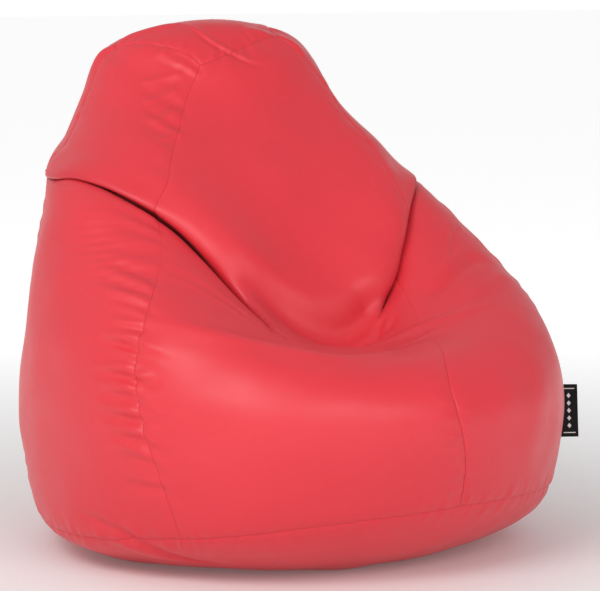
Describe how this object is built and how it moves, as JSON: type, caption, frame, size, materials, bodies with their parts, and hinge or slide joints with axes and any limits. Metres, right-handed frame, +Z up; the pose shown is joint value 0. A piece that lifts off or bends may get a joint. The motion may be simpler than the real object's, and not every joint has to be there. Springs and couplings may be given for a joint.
{
  "type": "bean bag chair",
  "caption": "Teardrop bean bag chair in coral-red faux leather, pressed into a seat with a reclined back, side arms, a folded side label and a filling zip at the back.",
  "frame": {"origin": "the point of the floor under the middle of the belly, at the centre of the flat contact patch", "axes": "X across the seat, towards the sitter's left hand as they look along -Y; -Y is the way the sitter looks; Z up from the floor"},
  "size_m": [0.8459, 0.8555, 0.8111],
  "materials": {
    "cover": "satin",
    "thread": "matte",
    "liner": "matte",
    "beads": "matte",
    "label": "satin",
    "zip_tape": "matte",
    "zip_teeth": "satin",
    "zip_metal": "satin"
  },
  "bodies": {
    "bag": {"bead_fill": "beads", "inner_liner": "liner", "liner_closure": "liner", "front_panel": "cover", "front_right_panel": "cover", "back_right_panel": "cover", "back_panel": "cover", "back_left_panel": "cover", "front_left_panel": "cover", "top_panel": "cover", "base_panel": "cover", "panel_seams": "thread", "base_seam": "thread", "top_seam": "thread", "zip_tape_left": "zip_tape", "zip_tape_right": "zip_tape", "zip_teeth_left": "zip_teeth", "zip_teeth_right": "zip_teeth", "zip_top_stop": "zip_metal", "zip_bottom_stop": "zip_metal"},
    "slider": {"zip_slider": "zip_metal"},
    "pull": {"zip_pull": "zip_metal"},
    "label": {"side_label": "label"}
  },
  "joints": [
    {"name": "zip_run", "type": "slide", "parent": "bag", "child": "slider", "axis": [0, 0, 1], "range_m": [-0.286, 0]},
    {"name": "pull_swing", "type": "hinge", "parent": "slider", "child": "pull", "pos_m": [-0.05291, 0.41608, 0.54], "axis": [1, 0, 0], "range_deg": [0, 170]},
    {"name": "label_fold", "type": "hinge", "parent": "bag", "child": "label", "pos_m": [0.38904, -0.17447, 0.20139], "axis": [0, 0, 1], "range_deg": [-70, 70], "stiffness_Nm_per_rad": 0.0005}
  ]
}
